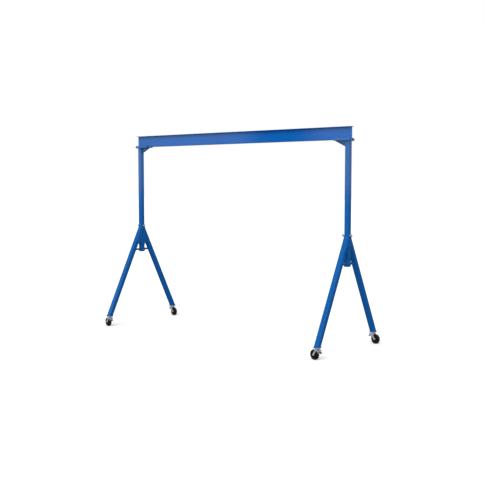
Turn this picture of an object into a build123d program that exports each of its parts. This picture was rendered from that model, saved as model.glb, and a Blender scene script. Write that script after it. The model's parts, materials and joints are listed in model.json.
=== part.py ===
"""Portable gantry crane: an I-beam bridge on two height-adjustable A-frames with braked casters.

Frame: +X along the beam, +Y across the feet, +Z up, origin on the floor under the middle of the beam.
Units are millimetres. "near" is the -Y side, "far" the +Y side, "left" -X and "right" +X.
"""
from build123d import *
from math import cos, hypot, radians, sin
import os

# ---- driving dimensions -------------------------------------------------------------------------
BEAM_LENGTH = 4572.0                    # 15 ft
BEAM_DEPTH, BEAM_FLANGE = 197.0, 100.0  # 8 in class, light series
FLANGE_T, WEB_T, ROOT_R = 6.5, 5.8, 8.0
UNDER_BEAM = 3222.0                     # height of the beam's underside at rest
MAST_X = 2224.0                         # mast centre line, from the middle of the beam

TUBE, TUBE_WALL, TUBE_R = 76.2, 4.8, 6.4            # 3 in square tube, for masts and legs
SLEEVE, SLEEVE_WALL = 88.9, 4.8                     # 3 1/2 in square tube around the mast
MAST_BOTTOM = 1300.0
HOLE_PITCH = 152.4                                  # 6 in between height holes

PIN_Z, PIN_R = 1777.0, 11.0                         # lock pin, resting on the sleeve's rim
PIN_TIP, PIN_HEAD, PIN_HEAD_T = -97.0, 66.0, 8.0    # from the mast's centre, outward positive
PIN_HEAD_R = 22.0
PIN_GAP = 0.4                                       # pin to hole and pin to rim
CLIP_X, CLIP_R, CLIP_EYE = -80.0, 4.0, 20.0         # safety clip through the pin, and its ring's eye above it
RING_R, RING_WIRE = 21.0, 2.0
SLEEVE_TOP = PIN_Z - PIN_R - PIN_GAP
SLEEVE_BOTTOM = 1434.0

LEG_SLOPE = 0.5158                                  # outward run per unit of drop
LEG_APEX_Z = 1763.0                                 # where the two leg centre lines would meet
FOOT_PLATE, FOOT_T = (80.0, 90.0), 12.7             # capping plate on each leg's foot
COLLAR_Z, COLLAR_H = 1343.0, 38.1                   # guide collar and cross brace
BRACE = 31.75
GUSSET_T = 6.35
GUSSET_TOP, GUSSET_EDGE = 1718.0, 10.0              # EDGE: how far it passes the leg centre line
INNER_GUSSET_BOTTOM, OUTER_GUSSET_BOTTOM = 1464.0, 1596.0
SIGHT_HOLE_Z, SIGHT_HOLE_R = PIN_Z - HOLE_PITCH / 2, 10.0

PLATE_T, PLATE_WIDTH = 12.7, 152.4                  # top plate under the beam
PLATE_IN, PLATE_OUT = 232.0, 70.0                   # from the mast's centre
BAR_IN, BAR_OUT, BAR_T = 216.0, 54.0, 11.0          # clamp bars over the lower flange
BAR_BOLT_Y, BAR_BOLT_X = 64.0, (-100.0, -22.0, 38.0)
KNEE_RUN, KNEE_DROP, KNEE_WIDTH = 177.0, 87.0, 38.1

CASTER_H = 184.15                                   # 7 1/4 in overall
WHEEL_R, WHEEL_W, TRAIL = 76.2, 50.8, 54.0          # 6 in by 2 in
HUB_HALF, HUB_R = 30.4, 20.0
CASTER_PLATE, CASTER_PLATE_T, CASTER_BOLT = 101.6, 6.35, 30.0
RACE_R, RACE_Z, RACE_GAP = 30.0, 171.2, 0.4
CROWN_TOP, CROWN_T = 159.8, 5.0
FORK_IN, FORK_T = 31.0, 5.0
AXLE_R = 6.35
BRAKE_X, BRAKE_Z, BRAKE_PIN_R = 38.0, 142.0, 4.0    # brake lever's pivot, in the caster's own frame
CASTER_TURN = -12.0                                 # swivel of the near casters; the far ones are opposite

RUN_GAP = 0.05                                      # radial clearance of a running fit
MILD_CHAMFER = 1.0
FAR = 3000.0                                        # larger than any piece, for cutting

# ---- derived places -----------------------------------------------------------------------------
HALF_TUBE, HALF_SLEEVE = TUBE / 2, SLEEVE / 2
FOOT_TOP = CASTER_H + FOOT_T
FOOT_Y = (LEG_APEX_Z - FOOT_TOP) * LEG_SLOPE
PLATE_TOP, PLATE_BOTTOM = UNDER_BEAM, UNDER_BEAM - PLATE_T
SIDES = {"left": -1, "right": 1}
ENDS = {"near": -1, "far": 1}


# ---- helpers ------------------------------------------------------------------------------------
def box(x, y, z):
    """A box from three (low, high) pairs."""
    size = [high - low for low, high in (x, y, z)]
    middle = [(high + low) / 2 for low, high in (x, y, z)]
    return Pos(*middle) * Box(*size)


def rod(radius, start, end):
    """A cylinder from one point to another."""
    a, b = Vector(*start), Vector(*end)
    stock = Cylinder(radius, (b - a).length, align=(Align.CENTER, Align.CENTER, Align.MIN))
    return Plane(origin=a, z_dir=b - a) * stock


def hexagon(across_flats, height):
    """A hexagonal prism standing on the XY plane, with its corners broken."""
    prism = extrude(RegularPolygon(across_flats / 2, 6, major_radius=False), height)
    cap = Cylinder(across_flats * 0.56, height, align=(Align.CENTER, Align.CENTER, Align.MIN))
    return prism & chamfer(cap.edges(), MILD_CHAMFER)


def square_tube(size, wall, length, corner=TUBE_R):
    """A rounded square tube standing on the XY plane."""
    inside = size - 2 * wall
    section = RectangleRounded(size, size, corner) - RectangleRounded(inside, inside, max(corner - wall, 1.0))
    return extrude(section, length)


def outline_xz(points, y):
    """A plate with an outline in X and Z, between two Y values."""
    face = Plane.XZ * make_face(Polyline(*points, close=True))
    return Pos(0, y[1], 0) * extrude(face, y[1] - y[0])


def outline_yz(points, x):
    """A plate with an outline in Y and Z, between two X values."""
    face = Plane.YZ * make_face(Polyline(*points, close=True))
    return Pos(x[0], 0, 0) * extrude(face, x[1] - x[0])


def at_mast(shape, side):
    """Put a shape drawn about the right mast's centre line on the named side."""
    placed = Pos(MAST_X, 0, 0) * shape
    return placed if side == "right" else mirror(placed, Plane.YZ)


def to_end(shape, end):
    """Keep a shape drawn on the near side there, or mirror it to the far side."""
    return shape if end == "near" else mirror(shape, Plane.XZ)


def caster_place(side, end):
    """Where a caster's own frame, leading direction +X, stands on the crane."""
    turn = CASTER_TURN if end == "near" else CASTER_TURN + 180
    return Pos(SIDES[side] * MAST_X, ENDS[end] * FOOT_Y, 0) * Rot(0, 0, turn)


def leg_y(z):
    """Distance of a leg's centre line from the mast at a height."""
    return (LEG_APEX_Z - z) * LEG_SLOPE


# ---- bridge -------------------------------------------------------------------------------------
def i_beam():
    top, bottom = UNDER_BEAM + BEAM_DEPTH, UNDER_BEAM
    half, web = BEAM_FLANGE / 2, WEB_T / 2
    length = (-BEAM_LENGTH / 2, BEAM_LENGTH / 2)
    beam = box(length, (-web, web), (bottom, top))
    beam += box(length, (-half, half), (bottom, bottom + FLANGE_T))
    beam += box(length, (-half, half), (top - FLANGE_T, top))
    web_edges = [e for e in beam.edges().filter_by(Axis.X) if abs(abs(e.center().Y) - web) < 0.1]
    roots = [e for e in web_edges if FLANGE_T / 2 < e.center().Z - bottom < BEAM_DEPTH - FLANGE_T / 2]
    return fillet(roots, ROOT_R)


def mast():
    tube = Pos(0, 0, MAST_BOTTOM) * square_tube(TUBE, TUBE_WALL, PLATE_BOTTOM - MAST_BOTTOM)
    for row in range(3):
        z = PIN_Z - row * HOLE_PITCH
        tube -= rod(PIN_R + PIN_GAP, (-TUBE, 0, z), (TUBE, 0, z))
    return tube


def top_plate():
    half = PLATE_WIDTH / 2
    plate = box((-PLATE_IN, PLATE_OUT), (-half, half), (PLATE_BOTTOM, PLATE_TOP))
    plate = fillet(plate.edges().filter_by(Axis.Z), 6.0)
    for x, y in clamp_bolt_places():
        plate -= Pos(x, y, PLATE_TOP - PLATE_T / 2) * Cylinder(CLAMP_BOLT_R + 0.7, 2 * PLATE_T)
    return plate


def knee_web():
    """Triangular web between the mast's inner face and the top plate."""
    inner, low = -HALF_TUBE, PLATE_BOTTOM - KNEE_DROP
    points = [(inner, PLATE_BOTTOM), (inner - KNEE_RUN, PLATE_BOTTOM), (inner, low)]
    return outline_xz(points, (-GUSSET_T / 2, GUSSET_T / 2))


def knee_flange():
    """Flat bar along the web's sloping edge."""
    slope = hypot(KNEE_RUN, KNEE_DROP)
    down, along = GUSSET_T * slope / KNEE_RUN, GUSSET_T * slope / KNEE_DROP
    inner, low = -HALF_TUBE, PLATE_BOTTOM - KNEE_DROP
    points = [(inner, low), (inner - KNEE_RUN, PLATE_BOTTOM),
              (inner - KNEE_RUN - along, PLATE_BOTTOM), (inner, low - down)]
    return outline_xz(points, (-KNEE_WIDTH / 2, KNEE_WIDTH / 2))


CLAMP_BOLT_R, CLAMP_BOLT_AF, CLAMP_HEAD, CLAMP_NUT = 6.35, 19.05, 8.0, 11.0
BAR_TOP = UNDER_BEAM + FLANGE_T + BAR_T


def clamp_bolt_places():
    return [(x, y) for x in BAR_BOLT_X for y in (-BAR_BOLT_Y, BAR_BOLT_Y)]


def clamp_bar():
    """Near bar: its foot stands on the top plate and its lip holds the lower flange down."""
    foot, out, lip = BEAM_FLANGE / 2 + 1.0, PLATE_WIDTH / 2, BEAM_FLANGE / 2 - 14.0
    step, top, bevel = UNDER_BEAM + FLANGE_T, BAR_TOP, 6.0
    points = [(-foot, UNDER_BEAM), (-out, UNDER_BEAM), (-out, top - bevel), (-out + bevel, top),
              (-lip, top), (-lip, step), (-foot, step)]
    bar = outline_yz(points, (-BAR_IN, BAR_OUT))
    for x in BAR_BOLT_X:
        bar -= rod(CLAMP_BOLT_R + 0.7, (x, -BAR_BOLT_Y, UNDER_BEAM - 1), (x, -BAR_BOLT_Y, top + 1))
    return bar


def clamp_bolt(x, y):
    """Hexagon bolt from above and its nut under the top plate, as two solids."""
    length = BAR_TOP - PLATE_BOTTOM + CLAMP_NUT + 4.0
    bolt = Pos(x, y, BAR_TOP) * hexagon(CLAMP_BOLT_AF, CLAMP_HEAD)
    bolt += rod(CLAMP_BOLT_R, (x, y, BAR_TOP - length), (x, y, BAR_TOP + 1))
    nut = hexagon(CLAMP_BOLT_AF, CLAMP_NUT) - Cylinder(CLAMP_BOLT_R + RUN_GAP, 4 * CLAMP_NUT)
    return [bolt, Pos(x, y, PLATE_BOTTOM - CLAMP_NUT) * nut]


# ---- A-frame ------------------------------------------------------------------------------------
def sleeve():
    tube = Pos(0, 0, SLEEVE_BOTTOM) * square_tube(SLEEVE, SLEEVE_WALL, SLEEVE_TOP - SLEEVE_BOTTOM)
    return tube - rod(SIGHT_HOLE_R, (-SLEEVE, 0, SIGHT_HOLE_Z), (0, 0, SIGHT_HOLE_Z))


def guide_collar():
    return Pos(0, 0, COLLAR_Z - COLLAR_H / 2) * square_tube(SLEEVE, SLEEVE_WALL, COLLAR_H)


def near_leg():
    """Square tube, cut level at the foot and upright against the sleeve and gussets."""
    low = FOOT_TOP - TUBE
    length = (LEG_APEX_Z + TUBE - low) * hypot(LEG_SLOPE, 1)
    along = Plane(origin=(0, -leg_y(low), low), x_dir=(1, 0, 0), z_dir=(0, LEG_SLOPE, 1))
    stock = along * square_tube(TUBE, TUBE_WALL, length)
    return stock & box((-TUBE, TUBE), (-FAR, -HALF_SLEEVE), (FOOT_TOP, FAR))


def cross_brace():
    """Near brace bar, from the guide collar to the near leg's inner face."""
    low, high = COLLAR_Z - BRACE / 2, COLLAR_Z + BRACE / 2
    inner_face = HALF_TUBE * hypot(LEG_SLOPE, 1)
    points = [(-HALF_SLEEVE, low), (-leg_y(low) + inner_face, low),
              (-leg_y(high) + inner_face, high), (-HALF_SLEEVE, high)]
    return outline_yz(points, (-BRACE / 2, BRACE / 2))


def gusset(bottom, corner):
    """Apex plate for the +X face: two wings on the legs and a raised strip over the sleeve."""
    strip = HALF_SLEEVE + GUSSET_T
    shoulder = LEG_APEX_Z - (strip - GUSSET_EDGE) / LEG_SLOPE
    wide = leg_y(bottom) + GUSSET_EDGE
    points = [(-wide, bottom), (wide, bottom), (strip, shoulder), (strip, GUSSET_TOP),
              (-strip, GUSSET_TOP), (-strip, shoulder)]
    wings = outline_yz(points, (HALF_TUBE, HALF_SLEEVE))
    wings -= box((0, SLEEVE), (-HALF_SLEEVE, HALF_SLEEVE), (0, FAR))
    plate = wings + box((HALF_SLEEVE, HALF_SLEEVE + GUSSET_T), (-strip, strip), (bottom, GUSSET_TOP))
    tops = [e for e in plate.edges().filter_by(Axis.X)
            if e.center().Z > GUSSET_TOP - 0.1 and abs(e.center().Y) > strip - 0.1]
    return fillet(tops, corner)


def inner_gusset():
    plate = mirror(gusset(INNER_GUSSET_BOTTOM, 12.0), Plane.YZ)
    return plate - rod(SIGHT_HOLE_R, (-SLEEVE, 0, SIGHT_HOLE_Z), (0, 0, SIGHT_HOLE_Z))


def outer_gusset():
    return gusset(OUTER_GUSSET_BOTTOM, 30.0)


def foot_plate():
    half_x, half_y = FOOT_PLATE[0] / 2, FOOT_PLATE[1] / 2
    plate = box((-half_x, half_x), (-FOOT_Y - half_y, -FOOT_Y + half_y), (CASTER_H, FOOT_TOP))
    plate = fillet(plate.edges().filter_by(Axis.Z), 5.0)
    blind = CASTER_H + CASTER_BOLT_GRIP
    for x, y in caster_bolt_places():
        plate -= rod(CASTER_BOLT_R, (x, y - FOOT_Y, CASTER_H - 1), (x, y - FOOT_Y, blind))
    return plate


# ---- caster, in its own frame: swivel axis at the origin, leading direction +X -------------------
CASTER_BOLT_R, CASTER_BOLT_AF, CASTER_HEAD, CASTER_BOLT_GRIP = 4.76, 14.3, 6.0, 11.0
KINGPIN_R, KINGPIN_HEAD_R, KINGPIN_NUT_AF, KINGPIN_NUT_H = 7.0, 13.0, 22.0, 9.0
PLATE_LOW = CASTER_H - CASTER_PLATE_T


def caster_bolt_places():
    return [(x, y) for x in (-CASTER_BOLT, CASTER_BOLT) for y in (-CASTER_BOLT, CASTER_BOLT)]


def caster_plate():
    """Square mounting plate with the upper half of the swivel race pressed under it."""
    half = CASTER_PLATE / 2
    plate = box((-half, half), (-half, half), (PLATE_LOW, CASTER_H))
    plate = fillet(plate.edges().filter_by(Axis.Z), 8.0)
    plate += rod(RACE_R, (0, 0, RACE_Z + RACE_GAP), (0, 0, PLATE_LOW))
    plate -= rod(KINGPIN_R, (0, 0, 0), (0, 0, CASTER_H + 1))
    plate -= rod(KINGPIN_HEAD_R, (0, 0, CASTER_H - 4), (0, 0, CASTER_H + 1))
    for x, y in caster_bolt_places():
        plate -= rod(CASTER_BOLT_R + 0.4, (x, y, PLATE_LOW - 1), (x, y, CASTER_H + 1))
    return plate


def caster_bolt(x, y):
    bolt = Pos(x, y, PLATE_LOW - CASTER_HEAD) * hexagon(CASTER_BOLT_AF, CASTER_HEAD)
    return bolt + rod(CASTER_BOLT_R, (x, y, PLATE_LOW - 1), (x, y, CASTER_H + CASTER_BOLT_GRIP))


def kingpin():
    """Swivel pin: head flush in the plate, shank through the crown, nut under it."""
    pin = rod(KINGPIN_R, (0, 0, CROWN_TOP - CROWN_T - KINGPIN_NUT_H - 1), (0, 0, CASTER_H))
    pin += rod(KINGPIN_HEAD_R, (0, 0, CASTER_H - 4), (0, 0, CASTER_H))
    nut_top = CROWN_TOP - CROWN_T - RACE_GAP
    return pin + Pos(0, 0, nut_top - KINGPIN_NUT_H) * hexagon(KINGPIN_NUT_AF, KINGPIN_NUT_H)


def fork():
    """Pressed crown with the lower race, and two slanting cheeks for the axle and the brake's pivot."""
    out, crown_low = FORK_IN + FORK_T, CROWN_TOP - CROWN_T
    crown = box((-34, 32), (-out, out), (crown_low, CROWN_TOP))
    crown += rod(RACE_R - 2, (0, 0, CROWN_TOP), (0, 0, RACE_Z))
    cheek = [(-34, CROWN_TOP), (32, CROWN_TOP), (BRAKE_X + 8, BRAKE_Z + 8), (BRAKE_X + 8, BRAKE_Z - 8),
             (BRAKE_X - 8, BRAKE_Z - 8), (12, crown_low - 10), (-TRAIL + 13, WHEEL_R - 4),
             (-TRAIL - 13, WHEEL_R + 4), (-27, crown_low - 14)]
    for y in ((-out, -FORK_IN), (FORK_IN, out)):
        crown += outline_xz(cheek, y)
        crown += rod(14, (-TRAIL, y[0], WHEEL_R), (-TRAIL, y[1], WHEEL_R))
        crown += rod(9, (BRAKE_X, y[0], BRAKE_Z), (BRAKE_X, y[1], BRAKE_Z))
    crown -= rod(KINGPIN_R + RUN_GAP, (0, 0, 0), (0, 0, CASTER_H))
    crown -= rod(AXLE_R, (-TRAIL, -FAR, WHEEL_R), (-TRAIL, FAR, WHEEL_R))
    return crown - rod(BRAKE_PIN_R, (BRAKE_X, -FAR, BRAKE_Z), (BRAKE_X, FAR, BRAKE_Z))


def wheel():
    """Solid tyre with rounded shoulders, open in the middle for its hub."""
    half = WHEEL_W / 2
    tyre = rod(WHEEL_R, (-TRAIL, -half, WHEEL_R), (-TRAIL, half, WHEEL_R))
    tyre = fillet(tyre.edges().filter_by(GeomType.CIRCLE), 9.0)
    for y in (-1, 1):
        tyre -= rod(52, (-TRAIL, y * (half - 7), WHEEL_R), (-TRAIL, y * (half + 1), WHEEL_R))
    return tyre - rod(HUB_R, (-TRAIL, -FAR, WHEEL_R), (-TRAIL, FAR, WHEEL_R))


def hub():
    """Steel hub and roller bearing in one barrel, free on the axle."""
    barrel = rod(HUB_R, (-TRAIL, -HUB_HALF + 6, WHEEL_R), (-TRAIL, HUB_HALF - 6, WHEEL_R))
    barrel += rod(14, (-TRAIL, -HUB_HALF, WHEEL_R), (-TRAIL, HUB_HALF, WHEEL_R))
    return barrel - rod(AXLE_R + RUN_GAP, (-TRAIL, -FAR, WHEEL_R), (-TRAIL, FAR, WHEEL_R))


def axle_and_brake_pin():
    """Axle bolt, its nut and the brake's pivot pin, as three solids."""
    out, head, nut = FORK_IN + FORK_T, 8.0, 11.0
    lying = Pos(-TRAIL, 0, WHEEL_R) * Rot(90, 0, 0)
    bolt = lying * (Pos(0, 0, out) * hexagon(19.05, head))
    bolt += rod(AXLE_R, (-TRAIL, -out - 1, WHEEL_R), (-TRAIL, out + nut + 3, WHEEL_R))
    lock_nut = lying * (Pos(0, 0, -out - nut) * hexagon(19.05, nut))
    lock_nut -= rod(AXLE_R + RUN_GAP, (-TRAIL, 0, WHEEL_R), (-TRAIL, FAR, WHEEL_R))
    pivot = rod(BRAKE_PIN_R, (BRAKE_X, -out, BRAKE_Z), (BRAKE_X, out, BRAKE_Z))
    for y in (-1, 1):
        pivot += rod(BRAKE_PIN_R + 3, (BRAKE_X, y * out, BRAKE_Z), (BRAKE_X, y * (out + 2.5), BRAKE_Z))
    return [bolt, lock_nut, pivot]


BRAKE_WIDTH, PEDAL_T = 40.0, 5.0
PEDAL_REACH, PEDAL_DROP, TAB_REACH, TAB_RISE = 41.0, 30.0, 60.0, 11.0   # from the pivot
SHOE_GAP, SHOE_T, SHOE_ANGLES = 6.0, 6.0, (18.0, 32.0)


def around_wheel(radius, angle):
    """A point at a radius and an angle above the horizontal, on the wheel's leading side."""
    return (-TRAIL + radius * cos(radians(angle)), WHEEL_R + radius * sin(radians(angle)))


def brake_lever():
    """Rocker brake: barrel on its pivot, sloping pedal, release tab and the shoe that meets the tread."""
    half, low = BRAKE_WIDTH / 2, BRAKE_Z - PEDAL_DROP
    lever = rod(8, (BRAKE_X, -half, BRAKE_Z), (BRAKE_X, half, BRAKE_Z))
    pedal = [(BRAKE_X, BRAKE_Z), (BRAKE_X + 8, BRAKE_Z), (BRAKE_X + PEDAL_REACH, low),
             (BRAKE_X + PEDAL_REACH - PEDAL_T, low - PEDAL_T), (BRAKE_X + 2, BRAKE_Z - 7)]
    lever += outline_xz(pedal, (-half, half))
    tab_top = BRAKE_Z + TAB_RISE
    tab = [(BRAKE_X - 4, BRAKE_Z + 4), (BRAKE_X + 10, tab_top), (BRAKE_X + TAB_REACH, tab_top),
           (BRAKE_X + TAB_REACH, tab_top - 4), (BRAKE_X + 13, tab_top - 4), (BRAKE_X + 6, BRAKE_Z - 2)]
    lever += outline_xz(tab, (-half * 0.6, half * 0.6))
    first, last = SHOE_ANGLES
    near, away = WHEEL_R + SHOE_GAP, WHEEL_R + SHOE_GAP + SHOE_T
    shoe = [around_wheel(near, first), around_wheel(away, first), (BRAKE_X + 2, BRAKE_Z - 6),
            (BRAKE_X - 6, BRAKE_Z - 2), around_wheel(away, last), around_wheel(near, last)]
    lever += outline_xz(shoe, (-half * 0.75, half * 0.75))
    return lever - rod(BRAKE_PIN_R + RUN_GAP, (BRAKE_X, -FAR, BRAKE_Z), (BRAKE_X, FAR, BRAKE_Z))


# ---- lock pin, drawn about the right mast: outside is +X ------------------------------------------
def lock_pin():
    """Pin through the mast along X, with a round head outside and a cross hole for its clip inside."""
    shank = rod(PIN_R, (PIN_TIP, 0, PIN_Z), (PIN_HEAD + 1, 0, PIN_Z))
    shank = chamfer(shank.edges().filter_by(GeomType.CIRCLE).sort_by(Axis.X)[0], 4.0)
    head = rod(PIN_HEAD_R, (PIN_HEAD, 0, PIN_Z), (PIN_HEAD + PIN_HEAD_T, 0, PIN_Z))
    head = chamfer(head.edges().filter_by(GeomType.CIRCLE), MILD_CHAMFER)
    return shank + head - rod(CLIP_R, (CLIP_X, 0, PIN_Z - 2 * PIN_R), (CLIP_X, 0, PIN_Z + 2 * PIN_R))


def clip_pin():
    """Short pin down through the lock pin, with the block that its ring turns in."""
    eye = PIN_Z + CLIP_EYE
    stem = rod(CLIP_R, (CLIP_X, 0, PIN_Z - 18), (CLIP_X, 0, eye))
    stem = chamfer(stem.edges().filter_by(GeomType.CIRCLE), MILD_CHAMFER)
    stem += box((CLIP_X - 6, CLIP_X + 6), (-5, 5), (PIN_Z + PIN_R + 0.3, eye + 6))
    return stem - rod(RING_WIRE + 1.0, (CLIP_X, -FAR, eye), (CLIP_X, FAR, eye))


def clip_ring():
    """Wire ring that hangs round the lock pin and keeps the clip in."""
    return Plane(origin=(CLIP_X, 0, PIN_Z + CLIP_EYE - RING_R), z_dir=(1, 0, 0)) * Torus(RING_R, RING_WIRE)


# ---- write the nodes ----------------------------------------------------------------------------
def write(node, shapes):
    shapes = shapes if isinstance(shapes, list) else [shapes]
    export_step(shapes[0] if len(shapes) == 1 else Compound(children=shapes), f"parts/{node}.step")


def write_bridge():
    write("i_beam", i_beam())
    bars, bolts = [], []
    for side in SIDES:
        write(f"{side}_mast", at_mast(mast(), side))
        write(f"{side}_top_plate", at_mast(top_plate(), side))
        write(f"{side}_knee_web", at_mast(knee_web(), side))
        write(f"{side}_knee_flange", at_mast(knee_flange(), side))
        bars += [at_mast(to_end(clamp_bar(), end), side) for end in ENDS]
        bolts += [at_mast(piece, side) for place in clamp_bolt_places() for piece in clamp_bolt(*place)]
    write("clamp_bars", bars)
    write("clamp_bolts", bolts)


def write_frame(side):
    write(f"{side}_sleeve", at_mast(sleeve(), side))
    write(f"{side}_guide_collar", at_mast(guide_collar(), side))
    write(f"{side}_cross_brace", [at_mast(to_end(cross_brace(), end), side) for end in ENDS])
    write(f"{side}_inner_gusset", at_mast(inner_gusset(), side))
    write(f"{side}_outer_gusset", at_mast(outer_gusset(), side))
    write(f"{side}_foot_plates", [at_mast(to_end(foot_plate(), end), side) for end in ENDS])
    for end in ENDS:
        write(f"{side}_{end}_leg", at_mast(to_end(near_leg(), end), side))
    feet = [Pos(SIDES[side] * MAST_X, ENDS[end] * FOOT_Y, 0) for end in ENDS]
    write(f"{side}_caster_plates", [foot * caster_plate() for foot in feet])
    write(f"{side}_kingpins", [foot * kingpin() for foot in feet])
    places = caster_bolt_places()
    write(f"{side}_caster_bolts", [foot * caster_bolt(*place) for foot in feet for place in places])


def write_caster(side, end):
    place = caster_place(side, end)
    write(f"{side}_{end}_fork", place * fork())
    write(f"{side}_{end}_wheel", place * wheel())
    write(f"{side}_{end}_hub", place * hub())
    write(f"{side}_{end}_axle", [place * piece for piece in axle_and_brake_pin()])
    write(f"{side}_{end}_brake_lever", place * brake_lever())


os.makedirs("parts", exist_ok=True)
write_bridge()
for side in SIDES:
    write_frame(side)
    write(f"{side}_lock_pin", at_mast(lock_pin(), side))
    write(f"{side}_clip_pin", at_mast(clip_pin(), side))
    write(f"{side}_clip_ring", at_mast(clip_ring(), side))
    for end in ENDS:
        write_caster(side, end)
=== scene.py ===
"""Looks of the portable gantry crane: enamel, plating, rubber, weld beads and the casters' small parts.

Lengths are metres in the CAD's own frame: +X along the beam, +Y across the feet, +Z up.
"""
import json
import math

import bmesh
import bpy
from mathutils import Matrix, Vector


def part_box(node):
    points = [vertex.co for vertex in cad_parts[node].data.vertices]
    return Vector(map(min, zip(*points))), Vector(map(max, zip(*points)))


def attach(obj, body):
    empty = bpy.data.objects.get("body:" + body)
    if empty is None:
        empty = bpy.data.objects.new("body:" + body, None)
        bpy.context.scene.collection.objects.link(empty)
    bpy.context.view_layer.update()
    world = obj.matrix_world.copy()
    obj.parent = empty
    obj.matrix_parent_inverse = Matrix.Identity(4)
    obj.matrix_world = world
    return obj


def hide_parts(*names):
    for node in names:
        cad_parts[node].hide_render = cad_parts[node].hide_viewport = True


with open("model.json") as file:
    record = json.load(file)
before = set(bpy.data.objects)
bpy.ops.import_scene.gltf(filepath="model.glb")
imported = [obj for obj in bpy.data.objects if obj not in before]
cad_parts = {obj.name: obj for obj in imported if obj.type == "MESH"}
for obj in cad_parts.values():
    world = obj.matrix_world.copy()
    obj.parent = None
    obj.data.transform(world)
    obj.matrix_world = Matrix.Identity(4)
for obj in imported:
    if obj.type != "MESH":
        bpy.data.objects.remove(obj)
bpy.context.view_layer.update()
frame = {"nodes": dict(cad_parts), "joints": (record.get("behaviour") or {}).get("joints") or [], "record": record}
NODES = frame["nodes"]
JOINTS = {row["name"]: row for row in frame["joints"]}
SIDES = {"left": -1, "right": 1}
ENDS = {"near": -1, "far": 1}

# ---- dimensions shared with the CAD -------------------------------------------------------------
HALF_TUBE, TUBE_CORNER = 0.0381, 0.0064
HALF_SLEEVE, GUSSET_T, GUSSET_EDGE = 0.04445, 0.00635, 0.010
LEG_SLOPE, LEG_APEX = 0.5158, 1.763         # sideways run per metre of drop, and the height of the apex
BRACE_HALF = 0.015875
KNEE_RUN, KNEE_DROP, KNEE_HALF = 0.177, 0.087, 0.01905
WHEEL_R, FORK_OUT = 0.0762, 0.036


# ---- node helpers -------------------------------------------------------------------------------
def add_node(tree, kind, sockets=None, **settings):
    """A node with its settings. Each socket, by name or number, takes a link or a value."""
    made = tree.nodes.new(kind)
    for name, value in settings.items():
        setattr(made, name, value)
    for name, source in (sockets or {}).items():
        if isinstance(source, bpy.types.NodeSocket):
            tree.links.new(source, made.inputs[name])
        else:
            made.inputs[name].default_value = source
    return made


def start_group(name, inputs, outputs):
    """An effect's node group: its tree, its input sockets by name and its output node."""
    tree = bpy.data.node_groups.new(name, "ShaderNodeTree")
    for label, kind, value in inputs:
        tree.interface.new_socket(label, in_out="INPUT", socket_type=kind).default_value = value
    for label, kind in outputs:
        tree.interface.new_socket(label, in_out="OUTPUT", socket_type=kind)
    return tree, tree.nodes.new("NodeGroupInput").outputs, tree.nodes.new("NodeGroupOutput")


def use_group(tree, group, sockets):
    return add_node(tree, "ShaderNodeGroup", sockets, node_tree=group)


def noise(tree, place, scale, detail=3.0, rough=0.5):
    sockets = {"Vector": place, "Scale": scale, "Detail": detail, "Roughness": rough}
    return add_node(tree, "ShaderNodeTexNoise", sockets).outputs["Fac"]


def ramp(tree, value, low, high, to_low=0.0, to_high=1.0):
    sockets = {"Value": value, "From Min": low, "From Max": high, "To Min": to_low, "To Max": to_high}
    return add_node(tree, "ShaderNodeMapRange", sockets).outputs["Result"]


def calculate(tree, operation, a, b):
    return add_node(tree, "ShaderNodeMath", {0: a, 1: b}, operation=operation).outputs[0]


def times(tree, a, b):
    return calculate(tree, "MULTIPLY", a, b)


def add(tree, a, b):
    return calculate(tree, "ADD", a, b)


def mix_colour(tree, amount, first, second):
    return add_node(tree, "ShaderNodeMix", {0: amount, 6: first, 7: second}, data_type="RGBA").outputs[2]


def own_place(tree):
    """Coordinates fixed to the piece, so its finish moves with it."""
    return tree.nodes.new("ShaderNodeTexCoord").outputs["Object"]


def facing(tree):
    """The shaded surface's own normal."""
    return tree.nodes.new("ShaderNodeNewGeometry").outputs["Normal"]


# ---- view and light -----------------------------------------------------------------------------
EYE = Vector((8.668, -10.566, 2.590))
AZIMUTH, DOWN = 38.775, 4.289               # degrees: turn from +Y towards -X, and tilt below the horizon
LENS, SENSOR, VIEW_END = 60.21, 36.0, 300.0
SUN_WAY, SUN_ENERGY, SUN_SPREAD = Vector((-0.22, 0.70, -0.68)), 2.2, 50     # the way it shines, and degrees
FILL = 0.74                                 # even light on surfaces that scatter it
PANEL, FAR_PANEL, DIM, TOP_PANEL = 1.05, 0.55, 0.03, 1.2    # radiance: near, far, room, ceiling
PANEL_GAP = (33.8, 38.4)                    # between the near panels, degrees from -Y towards -X
GAP_INSIDE, GAP_OUTSIDE = 0.014, 0.008      # its soft edges, in radians
BAND_LOW, BAND_HIGH = (-0.024, -0.004), (0.38, 0.50)        # Z of the panels' soft lower and upper edges
CEILING_EDGE = (0.70, 0.82)
FLOOR_HALF = 90.0
FLOOR_SEEN, FLOOR_BOUNCE, FLOOR_GLOSS = 0.97, 0.45, 0.05    # its shade to the camera, as bounced light, in gloss


def add_camera():
    data = bpy.data.cameras.new("camera")
    data.lens, data.sensor_width = LENS, SENSOR
    data.clip_end = VIEW_END
    camera = bpy.data.objects.new("camera", data)
    camera.location = EYE
    camera.rotation_euler = (math.radians(90 - DOWN), 0, math.radians(AZIMUTH))
    bpy.context.collection.objects.link(camera)
    bpy.context.scene.camera = camera


def add_overhead_light():
    """One broad light from above the near side, for the paint's own colour; panels give the gloss."""
    data = bpy.data.lights.new("overhead", "SUN")
    data.energy, data.angle = SUN_ENERGY, math.radians(SUN_SPREAD)
    lamp = bpy.data.objects.new("overhead", data)
    lamp.rotation_euler = SUN_WAY.to_track_quat("-Z", "Y").to_euler()
    lamp.visible_glossy = False
    bpy.context.collection.objects.link(lamp)


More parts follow.
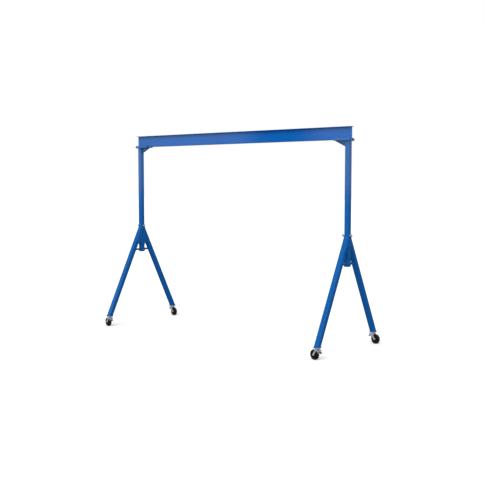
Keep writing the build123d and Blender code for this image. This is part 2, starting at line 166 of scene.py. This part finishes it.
def add_surround():
    """White backdrop, even fill, and for reflections a dim room with two long panels and a gap between them."""
    world = bpy.data.worlds.new("studio")
    world.use_nodes = True
    tree = world.node_tree
    ray = tree.nodes.new("ShaderNodeLightPath").outputs
    seen_way = tree.nodes.new("ShaderNodeTexCoord").outputs["Generated"]
    way = add_node(tree, "ShaderNodeSeparateXYZ", {"Vector": seen_way}).outputs
    bearing = calculate(tree, "ARCTAN2", way["X"], way["Y"])
    first, last = (math.radians(-180 + edge) for edge in PANEL_GAP)
    before = ramp(tree, bearing, first + GAP_INSIDE, first - GAP_OUTSIDE)
    after = ramp(tree, bearing, last - GAP_INSIDE, last + GAP_OUTSIDE)
    near_side = ramp(tree, way["Y"], 0.05, -0.05)
    panels = times(tree, times(tree, add(tree, before, after), near_side), PANEL - DIM)
    far_side = ramp(tree, way["Y"], -0.05, 0.2, 0.0, FAR_PANEL - DIM)
    band = times(tree, ramp(tree, way["Z"], *BAND_LOW), ramp(tree, way["Z"], *reversed(BAND_HIGH)))
    room = add(tree, times(tree, add(tree, panels, far_side), band), DIM)
    room = add(tree, room, ramp(tree, way["Z"], *CEILING_EDGE, 0.0, TOP_PANEL))
    total = add(tree, times(tree, ray["Is Glossy Ray"], room), times(tree, ray["Is Diffuse Ray"], FILL))
    total = add(tree, total, ray["Is Camera Ray"])
    tree.links.new(total, tree.nodes["Background"].inputs["Strength"])
    tree.nodes["Background"].inputs["Color"].default_value = (1.0, 1.0, 1.0, 1)
    bpy.context.scene.world = world
    bpy.context.scene.view_settings.view_transform = "Standard"


def add_floor():
    """Floor that is white to look at and dim in reflections."""
    mesh = bpy.data.meshes.new("floor")
    h = FLOOR_HALF
    mesh.from_pydata([(-h, -h, 0), (h, -h, 0), (h, h, 0), (-h, h, 0)], [], [(0, 1, 2, 3)])
    floor = bpy.data.objects.new("floor", mesh)
    bpy.context.collection.objects.link(floor)
    material = bpy.data.materials.new("pale_floor")
    material.use_nodes = True
    tree = material.node_tree
    shader = tree.nodes["Principled BSDF"]
    ray = tree.nodes.new("ShaderNodeLightPath").outputs
    seen, bounce, gloss = ((shade, shade, shade, 1) for shade in (FLOOR_SEEN, FLOOR_BOUNCE, FLOOR_GLOSS))
    pale = mix_colour(tree, ray["Is Camera Ray"], bounce, seen)
    tree.links.new(mix_colour(tree, ray["Is Glossy Ray"], pale, gloss), shader.inputs["Base Color"])
    shader.inputs["Roughness"].default_value = 1.0
    shader.inputs["Specular IOR Level"].default_value = 0.0
    mesh.materials.append(material)


# ---- effects ------------------------------------------------------------------------------------
def make_sprayed_coat():
    """Sprayed enamel: slow drift of shade, cloudy gloss and fine orange peel."""
    tree, given, out = start_group(
        "sprayed_coat",
        [("Colour", "NodeSocketColor", (0.1, 0.2, 0.5, 1)), ("Shade", "NodeSocketColor", (0.1, 0.2, 0.5, 1)),
         ("Gloss", "NodeSocketFloat", 0.4), ("Peel Scale", "NodeSocketFloat", 420.0)],
        [("Colour", "NodeSocketColor"), ("Roughness", "NodeSocketFloat"), ("Height", "NodeSocketFloat")])
    place = own_place(tree)
    drift = ramp(tree, noise(tree, place, 2.6, 4.0), 0.32, 0.68)
    tree.links.new(mix_colour(tree, drift, given["Colour"], given["Shade"]), out.inputs["Colour"])
    cloud = ramp(tree, noise(tree, place, 14.0, 3.0), 0.3, 0.7, 0.82, 1.2)
    tree.links.new(times(tree, cloud, given["Gloss"]), out.inputs["Roughness"])
    tree.links.new(noise(tree, place, given["Peel Scale"], 2.0), out.inputs["Height"])
    return tree


def make_rubbed_edges():
    """Where corners and edges are rubbed: bevelled against flat normals, broken up by noise."""
    tree, given, out = start_group(
        "rubbed_edges", [("Width", "NodeSocketFloat", 0.002), ("Amount", "NodeSocketFloat", 0.5)],
        [("Mask", "NodeSocketFloat")])
    place = own_place(tree)
    round_edge = add_node(tree, "ShaderNodeBevel", {"Radius": given["Width"]}, samples=6)
    across = add_node(tree, "ShaderNodeVectorMath", {0: round_edge.outputs["Normal"], 1: facing(tree)},
                      operation="DOT_PRODUCT")
    edge = ramp(tree, across.outputs["Value"], 0.985, 0.80)
    patchy = ramp(tree, noise(tree, place, 38.0, 5.0, 0.65), 0.44, 0.62)
    tree.links.new(times(tree, times(tree, edge, patchy), given["Amount"]), out.inputs["Mask"])
    return tree


def make_settled_dust():
    """Dust on faces that look up."""
    tree, given, out = start_group(
        "settled_dust", [("Amount", "NodeSocketFloat", 0.2), ("Scale", "NodeSocketFloat", 22.0)],
        [("Mask", "NodeSocketFloat")])
    place = own_place(tree)
    normal = add_node(tree, "ShaderNodeSeparateXYZ", {"Vector": facing(tree)})
    up = ramp(tree, normal.outputs["Z"], 0.35, 0.95)
    patchy = ramp(tree, noise(tree, place, given["Scale"], 6.0), 0.38, 0.66)
    tree.links.new(times(tree, times(tree, up, patchy), given["Amount"]), out.inputs["Mask"])
    return tree


def make_handling_scuffs():
    """Short faint scratches, drawn out along the piece's Z."""
    tree, given, out = start_group(
        "handling_scuffs",
        [("Amount", "NodeSocketFloat", 0.3), ("Stretch", "NodeSocketVector", (60.0, 60.0, 5.0))],
        [("Mask", "NodeSocketFloat")])
    drawn = add_node(tree, "ShaderNodeVectorMath", {0: own_place(tree), 1: given["Stretch"]}, operation="MULTIPLY")
    fine = noise(tree, drawn.outputs["Vector"], 4.0, 6.0, 0.7)
    rare = ramp(tree, noise(tree, own_place(tree), 5.0, 2.0), 0.52, 0.62)
    scratch = ramp(tree, fine, 0.635, 0.70)
    tree.links.new(times(tree, times(tree, scratch, rare), given["Amount"]), out.inputs["Mask"])
    return tree


def make_plated_spangle():
    """Electroplated zinc: small cells of slightly different shade over a cloudy base."""
    tree, given, out = start_group(
        "plated_spangle",
        [("Colour", "NodeSocketColor", (0.5, 0.5, 0.5, 1)), ("Dull", "NodeSocketColor", (0.4, 0.4, 0.4, 1)),
         ("Gloss", "NodeSocketFloat", 0.35), ("Cells", "NodeSocketFloat", 160.0)],
        [("Colour", "NodeSocketColor"), ("Roughness", "NodeSocketFloat"), ("Height", "NodeSocketFloat")])
    place = own_place(tree)
    cell = add_node(tree, "ShaderNodeTexVoronoi", {"Vector": place, "Scale": given["Cells"]})
    shade = add_node(tree, "ShaderNodeSeparateColor", {"Color": cell.outputs["Color"]})
    cloud = ramp(tree, noise(tree, place, 26.0, 4.0), 0.3, 0.7)
    both = times(tree, ramp(tree, shade.outputs["Red"], 0.0, 1.0, 0.55, 1.0), cloud)
    tree.links.new(mix_colour(tree, both, given["Colour"], given["Dull"]), out.inputs["Colour"])
    tree.links.new(times(tree, ramp(tree, both, 0.0, 1.0, 0.85, 1.35), given["Gloss"]), out.inputs["Roughness"])
    tree.links.new(noise(tree, place, 700.0, 2.0), out.inputs["Height"])
    return tree


def make_moulded_rubber():
    """Moulded rubber: matt bloom, mould sparkle and grime where the tread meets the floor."""
    tree, given, out = start_group(
        "moulded_rubber",
        [("Colour", "NodeSocketColor", (0.02, 0.02, 0.02, 1)), ("Grime", "NodeSocketColor", (0.1, 0.1, 0.09, 1)),
         ("Tread Radius", "NodeSocketFloat", 1.0)],
        [("Colour", "NodeSocketColor"), ("Roughness", "NodeSocketFloat"), ("Height", "NodeSocketFloat")])
    place = own_place(tree)
    axes = add_node(tree, "ShaderNodeSeparateXYZ", {"Vector": place})
    flat = add_node(tree, "ShaderNodeCombineXYZ", {"X": axes.outputs["X"], "Y": axes.outputs["Z"]})
    radius = add_node(tree, "ShaderNodeVectorMath", {"Vector": flat.outputs["Vector"]}, operation="LENGTH")
    outward = calculate(tree, "DIVIDE", radius.outputs["Value"], given["Tread Radius"])
    tread = ramp(tree, outward, 0.95, 0.985)
    speckle = ramp(tree, noise(tree, place, 90.0, 6.0, 0.7), 0.42, 0.72)
    grimy = mix_colour(tree, times(tree, tread, speckle), given["Colour"], given["Grime"])
    tree.links.new(grimy, out.inputs["Colour"])
    tree.links.new(ramp(tree, noise(tree, place, 60.0, 4.0), 0.3, 0.7, 0.42, 0.66), out.inputs["Roughness"])
    tree.links.new(noise(tree, place, 900.0, 3.0), out.inputs["Height"])
    return tree


SPRAYED_COAT = make_sprayed_coat()
RUBBED_EDGES = make_rubbed_edges()
SETTLED_DUST = make_settled_dust()
HANDLING_SCUFFS = make_handling_scuffs()
PLATED_SPANGLE = make_plated_spangle()
MOULDED_RUBBER = make_moulded_rubber()


# ---- materials ----------------------------------------------------------------------------------
DUST = (0.55, 0.56, 0.56, 1)
PRIMER = (0.30, 0.33, 0.36, 1)
BARE_ZINC = (0.72, 0.72, 0.73, 1)


def start_material(name, specular, metallic=0.0):
    material = bpy.data.materials.new(name)
    material.use_nodes = True
    tree = material.node_tree
    shader = tree.nodes["Principled BSDF"]
    shader.inputs["Specular IOR Level"].default_value = specular
    shader.inputs["Metallic"].default_value = metallic
    return material, tree, shader


def raise_surface(tree, shader, height, distance, strength=0.5):
    bump = add_node(tree, "ShaderNodeBump", {"Height": height, "Distance": distance, "Strength": strength})
    tree.links.new(bump.outputs["Normal"], shader.inputs["Normal"])


def enamel(name, colour, shade, shine=0.5, gloss=0.12, wear=0.10, dust=0.10):
    """Paint over primer, with rubbed edges, scuffs and a little dust."""
    material, tree, shader = start_material(name, shine)
    coat = use_group(tree, SPRAYED_COAT, {"Colour": (*colour, 1), "Shade": (*shade, 1), "Gloss": gloss})
    edges = use_group(tree, RUBBED_EDGES, {"Width": 0.0022, "Amount": wear}).outputs["Mask"]
    scuffs = use_group(tree, HANDLING_SCUFFS, {"Amount": 0.10}).outputs["Mask"]
    settled = use_group(tree, SETTLED_DUST, {"Amount": dust}).outputs["Mask"]
    scuffed = mix_colour(tree, scuffs, coat.outputs["Colour"], PRIMER)
    rubbed = mix_colour(tree, edges, scuffed, PRIMER)
    tree.links.new(mix_colour(tree, settled, rubbed, DUST), shader.inputs["Base Color"])
    tree.links.new(coat.outputs["Roughness"], shader.inputs["Roughness"])
    raise_surface(tree, shader, coat.outputs["Height"], 0.0001, 0.2)
    return material


def plating(name, colour, dull, metal=0.72, gloss=0.44, cells=160.0, wear=0.3):
    """Bright zinc over steel."""
    material, tree, shader = start_material(name, 0.5, metal)
    skin = use_group(tree, PLATED_SPANGLE,
                     {"Colour": (*colour, 1), "Dull": (*dull, 1), "Gloss": gloss, "Cells": cells})
    edges = use_group(tree, RUBBED_EDGES, {"Width": 0.0012, "Amount": wear}).outputs["Mask"]
    settled = use_group(tree, SETTLED_DUST, {"Amount": 0.2, "Scale": 60.0}).outputs["Mask"]
    bright = mix_colour(tree, edges, skin.outputs["Colour"], BARE_ZINC)
    tree.links.new(mix_colour(tree, settled, bright, DUST), shader.inputs["Base Color"])
    tree.links.new(skin.outputs["Roughness"], shader.inputs["Roughness"])
    raise_surface(tree, shader, skin.outputs["Height"], 0.0002, 0.3)
    return material


def rubber(name, colour, grime, tread_radius):
    """Dusty moulded rubber, with grime beyond about 95 % of the tread radius."""
    material, tree, shader = start_material(name, 0.12)
    skin = use_group(tree, MOULDED_RUBBER,
                     {"Colour": (*colour, 1), "Grime": (*grime, 1), "Tread Radius": tread_radius})
    settled = use_group(tree, SETTLED_DUST, {"Amount": 0.12, "Scale": 80.0}).outputs["Mask"]
    tree.links.new(mix_colour(tree, settled, skin.outputs["Colour"], DUST), shader.inputs["Base Color"])
    tree.links.new(skin.outputs["Roughness"], shader.inputs["Roughness"])
    raise_surface(tree, shader, skin.outputs["Height"], 0.0003, 0.4)
    return material


MATERIALS = {
    "beam_paint": enamel("beam_paint", (0.0008, 0.104, 0.405), (0.0014, 0.114, 0.430), gloss=0.075, dust=0.08),
    "mast_paint": enamel("mast_paint", (0.0008, 0.096, 0.340), (0.0014, 0.106, 0.365), shine=0.66, gloss=0.10),
    "frame_paint": enamel("frame_paint", (0.0010, 0.088, 0.325), (0.0016, 0.099, 0.352)),
    "zinc": plating("zinc", (0.78, 0.80, 0.86), (0.56, 0.59, 0.66), metal=0.68),
    "bolt_zinc": plating("bolt_zinc", (0.84, 0.87, 0.93), (0.66, 0.69, 0.75), gloss=0.36, cells=260.0),
    "tyre": rubber("tyre", (0.006, 0.007, 0.007), (0.030, 0.030, 0.028), WHEEL_R),
    "hub_steel": plating("hub_steel", (0.50, 0.51, 0.53), (0.36, 0.37, 0.39), gloss=0.40, cells=300.0),
    "pedal_rubber": rubber("pedal_rubber", (0.008, 0.008, 0.009), (0.03, 0.03, 0.03), 1.0),
}


def paint_nodes():
    """Each CAD node gets the finish of its material slot."""
    for row in frame["record"]["subparts"]:
        data = NODES[row["node"]].data
        data.materials.clear()
        data.materials.append(MATERIALS[row["material_slot"]])


# ---- mesh helpers -------------------------------------------------------------------------------
FINE, ROLLED, WELDED = 30.0, 32.0, 60.0     # degrees from which an edge is sharp


def add_piece(name, mesh, finish, body, matrix=None, sharp_from=40.0):
    """A mesh object in its finish, riding on a body. A tyre keeps its own axes, as its grime follows them."""
    data = bpy.data.meshes.new(name)
    bmesh.ops.recalc_face_normals(mesh, faces=mesh.faces)
    mesh.to_mesh(data)
    mesh.free()
    piece = bpy.data.objects.new(name, data)
    bpy.context.collection.objects.link(piece)
    if finish == "tyre":
        piece.matrix_world = matrix
    elif matrix is not None:
        data.transform(matrix)
    data.materials.append(MATERIALS[finish])
    data.shade_smooth()
    data.set_sharp_from_angle(angle=math.radians(sharp_from))
    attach(piece, body)
    return piece


def lathe(profile, steps):
    """A new mesh: a closed profile of (radius, along) points, turned about the local Y axis."""
    mesh, rings = bmesh.new(), []
    for step in range(steps):
        angle = 2 * math.pi * step / steps
        rings.append([mesh.verts.new((r * math.cos(angle), y, r * math.sin(angle))) for r, y in profile])
    for step, ring in enumerate(rings):
        after = rings[(step + 1) % steps]
        for i in range(len(profile)):
            j = (i + 1) % len(profile)
            mesh.faces.new((ring[i], ring[j], after[j], after[i]))
    return mesh


def soft_box(mesh, size, radius, matrix):
    """A box with rolled edges."""
    made = bmesh.ops.create_cube(mesh, size=1.0)
    bmesh.ops.scale(mesh, vec=size, verts=made["verts"])
    edges = list({edge for vert in made["verts"] for edge in vert.link_edges})
    rolled = bmesh.ops.bevel(mesh, geom=edges, offset=radius, segments=4, affect="EDGES", profile=0.5)
    verts = {vert for face in rolled["faces"] for vert in face.verts}
    bmesh.ops.transform(mesh, matrix=matrix, verts=list(verts))


# ---- weld beads ---------------------------------------------------------------------------------
RIPPLE, STEP, SINK = 0.0052, 0.0014, 0.0004     # pitch of the ripples, length of a step, depth below the corner
ARC, CORNER_STEPS = 5, 6                        # facets across a bead, and round each corner of a loop
BELLY, TOE, ARC_SHIFT = 0.09, 0.05, 0.0016      # swell of the middle and the toes, shift of the middle's ripples
END_SIZE = 0.45                                 # size of a bead's open end
FILLET = {"mast": 0.006, "sleeve": 0.0055, "plate": 0.005, "web": 0.0045, "bar": 0.004, "foot": 0.0021}
SEAM_TRIM, KNEE_LOW, KNEE_TIP, KNEE_SLOPE = 0.006, 0.004, 0.010, 0.022      # what the knee's seams leave free
SLEEVE_LOW, SLEEVE_HIGH = 0.002, 0.003          # and a leg's seams on the sleeve
HALF_STRIP, HALF_FLAT = 0.036, 0.031            # half lengths of the seams across a gusset and a leg
BRACE_CORNER = 0.001
X, Y, Z = Vector((1, 0, 0)), Vector((0, 1, 0)), Vector((0, 0, 1))


class Beads:
    """The fillet welds of one body, in one mesh."""

    def __init__(self, body):
        self.body, self.mesh = body, bmesh.new()

    def seam(self, start, end, along_a, along_b, fillet):
        """A straight fillet between two faces, whose directions lead away from the corner."""
        run = end - start
        count = max(6, int(run.length / STEP))
        path = [start + run * (i / count) for i in range(count + 1)]
        self.lay(path, [(along_a, along_b)] * len(path), FILLET[fillet], False)

    def loop(self, centre, u, v, half_u, half_v, corner, lift, fillet):
        """A fillet round a rounded rectangle; lift is the direction of the tube or bar that stands in it."""
        path, ways = [], []
        for number in range(4):
            turn = number * math.pi / 2
            middle_u = (half_u - corner) * (1 if number in (0, 3) else -1)
            middle_v = (half_v - corner) * (1 if number in (0, 1) else -1)
            for i in range(CORNER_STEPS + 1):
                angle = turn + i * math.pi / (2 * CORNER_STEPS)
                way = u * math.cos(angle) + v * math.sin(angle)
                path.append(centre + u * middle_u + v * middle_v + way * corner)
                ways.append(way)
        fine, faces = [], []
        for i, point in enumerate(path):
            after, way_after = path[(i + 1) % len(path)], ways[(i + 1) % len(path)]
            pieces = max(1, int((after - point).length / STEP))
            for k in range(pieces):
                t = k / pieces
                fine.append(point.lerp(after, t))
                faces.append((ways[i].lerp(way_after, t).normalized(), lift))
        self.lay(fine, faces, FILLET[fillet], True)

    def lay(self, path, faces, leg, closed):
        """A rippled bead of this leg length along a path, with a pair of face directions for each point."""
        rings, travelled = [], 0.0
        total = sum((b - a).length for a, b in zip(path, path[1:]))
        for index, (point, (a, b)) in enumerate(zip(path, faces)):
            if index:
                travelled += (point - path[index - 1]).length
            ending = 1.0 if closed else min(1.0, END_SIZE + min(travelled, total - travelled) / leg)
            ring = [point - (a + b) * SINK]
            for k in range(ARC + 1):
                t = k / ARC
                belly = math.sin(math.pi * t)
                crest = abs(math.sin(math.pi * (travelled + ARC_SHIFT * belly) / RIPPLE))
                size = leg * ending * (1 + TOE * (1 - belly) * (crest - 0.5) + BELLY * belly * crest)
                ring.append(point + (a * (1 - t) + b * t + (a + b) * BELLY * belly) * size)
            rings.append([self.mesh.verts.new(place) for place in ring])
        last = len(rings) if closed else len(rings) - 1
        for index in range(last):
            ring, after = rings[index], rings[(index + 1) % len(rings)]
            for i in range(len(ring)):
                j = (i + 1) % len(ring)
                self.mesh.faces.new((ring[i], ring[j], after[j], after[i]))
        if not closed:
            self.mesh.faces.new(rings[0])
            self.mesh.faces.new(rings[-1])

    def finish(self, slot):
        add_piece(f"{self.body}_weld_beads", self.mesh, slot, self.body, sharp_from=WELDED)


def mast_x(side):
    low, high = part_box(f"{side}_mast")
    return (low[0] + high[0]) / 2


def weld_bridge(beads, side):
    """Mast and knee brace to the top plate."""
    s, mx = SIDES[side], mast_x(side)
    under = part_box(f"{side}_top_plate")[0][2]
    x_in, down = -s * X, -Z
    beads.loop(Vector((mx, 0, under)), X, Y, HALF_TUBE, HALF_TUBE, TUBE_CORNER, down, "mast")
    face = mx - s * HALF_TUBE
    slope = math.hypot(KNEE_RUN, KNEE_DROP)
    flange_down, flange_run = GUSSET_T * slope / KNEE_RUN, GUSSET_T * slope / KNEE_DROP
    along = Vector((-s * KNEE_RUN, 0, KNEE_DROP)).normalized()
    up = Vector((s * KNEE_DROP, 0, KNEE_RUN)).normalized()
    for y in (-1, 1):
        web_y, out = y * GUSSET_T / 2, Vector((0, y, 0))
        beads.seam(Vector((face, web_y, under - KNEE_DROP + KNEE_LOW)), Vector((face, web_y, under - SEAM_TRIM)),
                   x_in, out, "web")
        beads.seam(Vector((face - s * SEAM_TRIM, web_y, under)),
                   Vector((face - s * (KNEE_RUN - KNEE_TIP), web_y, under)), down, out, "web")
        start = Vector((face, web_y, under - KNEE_DROP)) + along * SEAM_TRIM
        beads.seam(start, start + along * (slope - KNEE_SLOPE), up, out, "web")
    low = under - KNEE_DROP - flange_down
    beads.seam(Vector((face, -KNEE_HALF, low)), Vector((face, KNEE_HALF, low)), down, along, "plate")
    tip = face - s * (KNEE_RUN + flange_run)
    beads.seam(Vector((tip, -KNEE_HALF, under)), Vector((tip, KNEE_HALF, under)), x_in, -along, "bar")


def leg_y(z):
    return (LEG_APEX - z) * LEG_SLOPE


def weld_gusset(beads, side, name, way, end):
    """A gusset's wing on one leg, and its top edge over the sleeve; way is its face's X direction."""
    low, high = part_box(f"{side}_{name}")
    mx, e = mast_x(side), ENDS[end]
    face, out = mx + way * HALF_TUBE, way * X
    edge_out = Vector((0, e, LEG_SLOPE)).normalized()
    shoulder = LEG_APEX - (HALF_SLEEVE + GUSSET_T - GUSSET_EDGE) / LEG_SLOPE
    top = Vector((face, e * (leg_y(shoulder) + GUSSET_EDGE), shoulder))
    foot = Vector((face, e * (leg_y(low[2]) + GUSSET_EDGE), low[2]))
    beads.seam(top, foot, edge_out, out, "plate")
    inner = leg_y(low[2]) - HALF_TUBE * math.hypot(LEG_SLOPE, 1)
    beads.seam(foot, Vector((face, e * max(inner, HALF_SLEEVE), low[2])), -Z, out, "plate")
    if end == "near":
        strip = mx + way * HALF_SLEEVE
        beads.seam(Vector((strip, -HALF_STRIP, high[2])), Vector((strip, HALF_STRIP, high[2])), Z, out, "plate")


def weld_leg(beads, side, end):
    """A leg to the sleeve and to its foot plate, and the brace between leg and collar."""
    mx, e = mast_x(side), ENDS[end]
    away = e * Y
    wide = HALF_TUBE * math.hypot(LEG_SLOPE, 1)
    high, low = (LEG_APEX - (HALF_SLEEVE + turn * wide) / LEG_SLOPE for turn in (-1, 1))
    down_leg = Vector((0, e * LEG_SLOPE, -1)).normalized()
    up_leg = Vector((0, -e * LEG_SLOPE, 1)).normalized()
    gusset_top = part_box(f"{side}_outer_gusset")[1][2]
    for way in (-1, 1):
        x = mx + way * HALF_TUBE
        beads.seam(Vector((x, e * HALF_SLEEVE, gusset_top + SLEEVE_LOW)),
                   Vector((x, e * HALF_SLEEVE, high - SLEEVE_HIGH)), way * X * 0.7, away, "sleeve")
    for z, lift, fillet in ((high, Z, "plate"), (low, -Z, "mast")):
        beads.seam(Vector((mx - HALF_FLAT, e * HALF_SLEEVE, z)), Vector((mx + HALF_FLAT, e * HALF_SLEEVE, z)),
                   lift, down_leg, fillet)
    foot_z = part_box(f"{side}_foot_plates")[1][2]
    beads.loop(Vector((mx, e * leg_y(foot_z), foot_z)), X, Y, HALF_TUBE, wide, TUBE_CORNER, up_leg, "foot")
    brace_low, brace_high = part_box(f"{side}_cross_brace")
    middle = (brace_low[2] + brace_high[2]) / 2
    beads.loop(Vector((mx, e * HALF_SLEEVE, middle)), X, Z, BRACE_HALF, BRACE_HALF, BRACE_CORNER, away, "bar")
    reach = leg_y(middle) - wide
    beads.loop(Vector((mx, e * reach, middle)), X, up_leg, BRACE_HALF, BRACE_HALF * math.hypot(LEG_SLOPE, 1),
               BRACE_CORNER, -away, "bar")


def weld_all():
    bridge = Beads("bridge")
    for side in SIDES:
        weld_bridge(bridge, side)
        frame_beads = Beads(f"{side}_frame")
        for end in ENDS:
            weld_leg(frame_beads, side, end)
            for name, way in (("inner_gusset", -SIDES[side]), ("outer_gusset", SIDES[side])):
                weld_gusset(frame_beads, side, name, way, end)
        frame_beads.finish("frame_paint")
    bridge.finish("mast_paint")


# ---- casters ------------------------------------------------------------------------------------
def caster_frame(side, end):
    """The caster's own frame: origin under the swivel axis on the floor, leading direction +X."""
    swivel = JOINTS[f"{side}_{end}_swivel_turn"]["pos_m"]
    axle = JOINTS[f"{side}_{end}_wheel_roll"]["pos_m"]
    lead = Vector((swivel[0] - axle[0], swivel[1] - axle[1], 0)).normalized()
    matrix = Matrix.Rotation(math.atan2(lead.y, lead.x), 4, "Z")
    matrix.translation = (swivel[0], swivel[1], 0)
    return matrix, Vector(axle)


# closed profiles as (radius, along the axis)
TYRE_HALF_PROFILE = [(0.0762, 0.0), (0.0761, 0.008), (0.0757, 0.0135), (0.0747, 0.0178), (0.0729, 0.0212),
                     (0.0704, 0.0236), (0.0674, 0.0249), (0.0640, 0.0254), (0.0622, 0.0252), (0.0616, 0.0244),
                     (0.0600, 0.0244), (0.0594, 0.0252), (0.0560, 0.0252), (0.0538, 0.0244), (0.0530, 0.0226),
                     (0.0518, 0.0196), (0.0490, 0.0186), (0.0330, 0.0186), (0.0296, 0.0192), (0.0280, 0.0212),
                     (0.0266, 0.0238), (0.0250, 0.0244), (0.0212, 0.0244), (0.0200, 0.0238)]
UPPER_LIP = [(0.0292, 0.0), (0.0322, 0.0), (0.0331, 0.0012), (0.0331, 0.0034), (0.0322, 0.0046), (0.0292, 0.0046)]
LOWER_LIP = [(0.0272, 0.0), (0.0312, 0.0), (0.0318, 0.0010), (0.0318, 0.0024), (0.0310, 0.0034), (0.0272, 0.0034)]
NIPPLE = [(0.0002, 0.0), (0.0038, 0.0), (0.0038, 0.0022), (0.0024, 0.0028), (0.0019, 0.0046), (0.0026, 0.0056),
          (0.0026, 0.0068), (0.0014, 0.0080), (0.0002, 0.0081)]
UPPER_RISE, LOWER_RISE = 0.0004, -0.0058        # of the lips' low ends, from the low end of the upper race
BOLT_HEAD = 0.0078                              # from the fork's outer face to the face of the axle bolt's head
TYRE_STEPS, LIP_STEPS, NIPPLE_STEPS = 128, 72, 20
SPOKES, SPOKE_SIZE, SPOKE_EDGE = 6, (0.0235, 0.0070, 0.0060), 0.0018
SPOKE_R, SPOKE_OUT = 0.0405, 0.0178
PEDAL_TOE, PEDAL_HEEL = Vector((0.0385, 0, -0.0325)), Vector((0.0050, 0, -0.0035))      # from the brake's pivot
GRIP_SIZE, GRIP_EDGE, GRIP_BACK = (0.028, 0.0440, 0.0092), 0.0032, 0.0115
RIBS, RIB_SIZE, RIB_EDGE = 4, (0.0022, 0.036, 0.0018), 0.0006
RIB_FIRST, RIB_PITCH, RIB_OUT = 0.009, 0.006, 0.0046


def add_tyre(side, end, matrix, axle):
    """Solid tyre: crowned tread, rolled shoulders, rim groove, recessed web with ribs and a hub boss."""
    other = [(r, -y) for r, y in reversed(TYRE_HALF_PROFILE) if y > 0]
    mesh = lathe(TYRE_HALF_PROFILE + other, TYRE_STEPS)
    for number in range(SPOKES):
        turn = Matrix.Rotation(number * 2 * math.pi / SPOKES, 4, "Y")
        for y in (-1, 1):
            soft_box(mesh, SPOKE_SIZE, SPOKE_EDGE, turn @ Matrix.Translation((SPOKE_R, y * SPOKE_OUT, 0)))
    placed = matrix.copy()
    placed.translation = axle
    piece = add_piece(f"{side}_{end}_tyre", mesh, "tyre", f"{side}_{end}_roller", placed, ROLLED)
    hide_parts(f"{side}_{end}_wheel")


def add_pedal_grip(side, end, matrix):
    """Dipped rubber sleeve over the brake pedal's toe, ribbed above and below."""
    pivot = matrix.inverted() @ Vector(JOINTS[f"{side}_{end}_brake_press"]["pos_m"])
    pivot.y = 0.0
    toe = pivot + PEDAL_TOE
    along = (toe - (pivot + PEDAL_HEEL)).normalized()
    across = along.cross(Y)
    turn = Matrix((along, Y, across)).transposed().to_4x4()
    turn.translation = toe - along * GRIP_BACK
    mesh = bmesh.new()
    soft_box(mesh, GRIP_SIZE, GRIP_EDGE, turn)
    for rib in range(RIBS):
        for face in (-1, 1):
            ridge = turn.copy()
            ridge.translation = turn.translation - along * (RIB_FIRST - rib * RIB_PITCH) + across * face * RIB_OUT
            soft_box(mesh, RIB_SIZE, RIB_EDGE, ridge)
    add_piece(f"{side}_{end}_pedal_grip", mesh, "pedal_rubber", f"{side}_{end}_brake", matrix)


def add_race_lips(side, end, matrix):
    """Rolled lips of the swivel race: a wide dust lip above and a narrower rim below."""
    race_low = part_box(f"{side}_caster_plates")[0][2]
    upright = Matrix.Rotation(math.pi / 2, 4, "X")
    for name, profile, rise, body in (("upper", UPPER_LIP, UPPER_RISE, f"{side}_frame"),
                                      ("lower", LOWER_LIP, LOWER_RISE, f"{side}_{end}_swivel")):
        place = matrix @ Matrix.Translation((0, 0, race_low + rise)) @ upright
        add_piece(f"{side}_{end}_{name}_race_lip", lathe(profile, LIP_STEPS), "zinc", body, place, FINE)


def add_grease_nipple(side, end, matrix, axle):
    """Grease nipple on the axle bolt's head."""
    placed = matrix.copy()
    placed.translation = axle
    place = placed @ Matrix.Translation((0, -FORK_OUT - BOLT_HEAD, 0)) @ Matrix.Rotation(math.pi, 4, "Z")
    mesh = lathe(NIPPLE, NIPPLE_STEPS)
    add_piece(f"{side}_{end}_grease_nipple", mesh, "hub_steel", f"{side}_{end}_swivel", place, FINE)


def dress_casters():
    for side in SIDES:
        for end in ENDS:
            matrix, axle = caster_frame(side, end)
            add_tyre(side, end, matrix, axle)
            add_pedal_grip(side, end, matrix)
            add_race_lips(side, end, matrix)
            add_grease_nipple(side, end, matrix, axle)


add_camera()
add_surround()
add_floor()
add_overhead_light()
paint_nodes()
weld_all()
dress_casters()
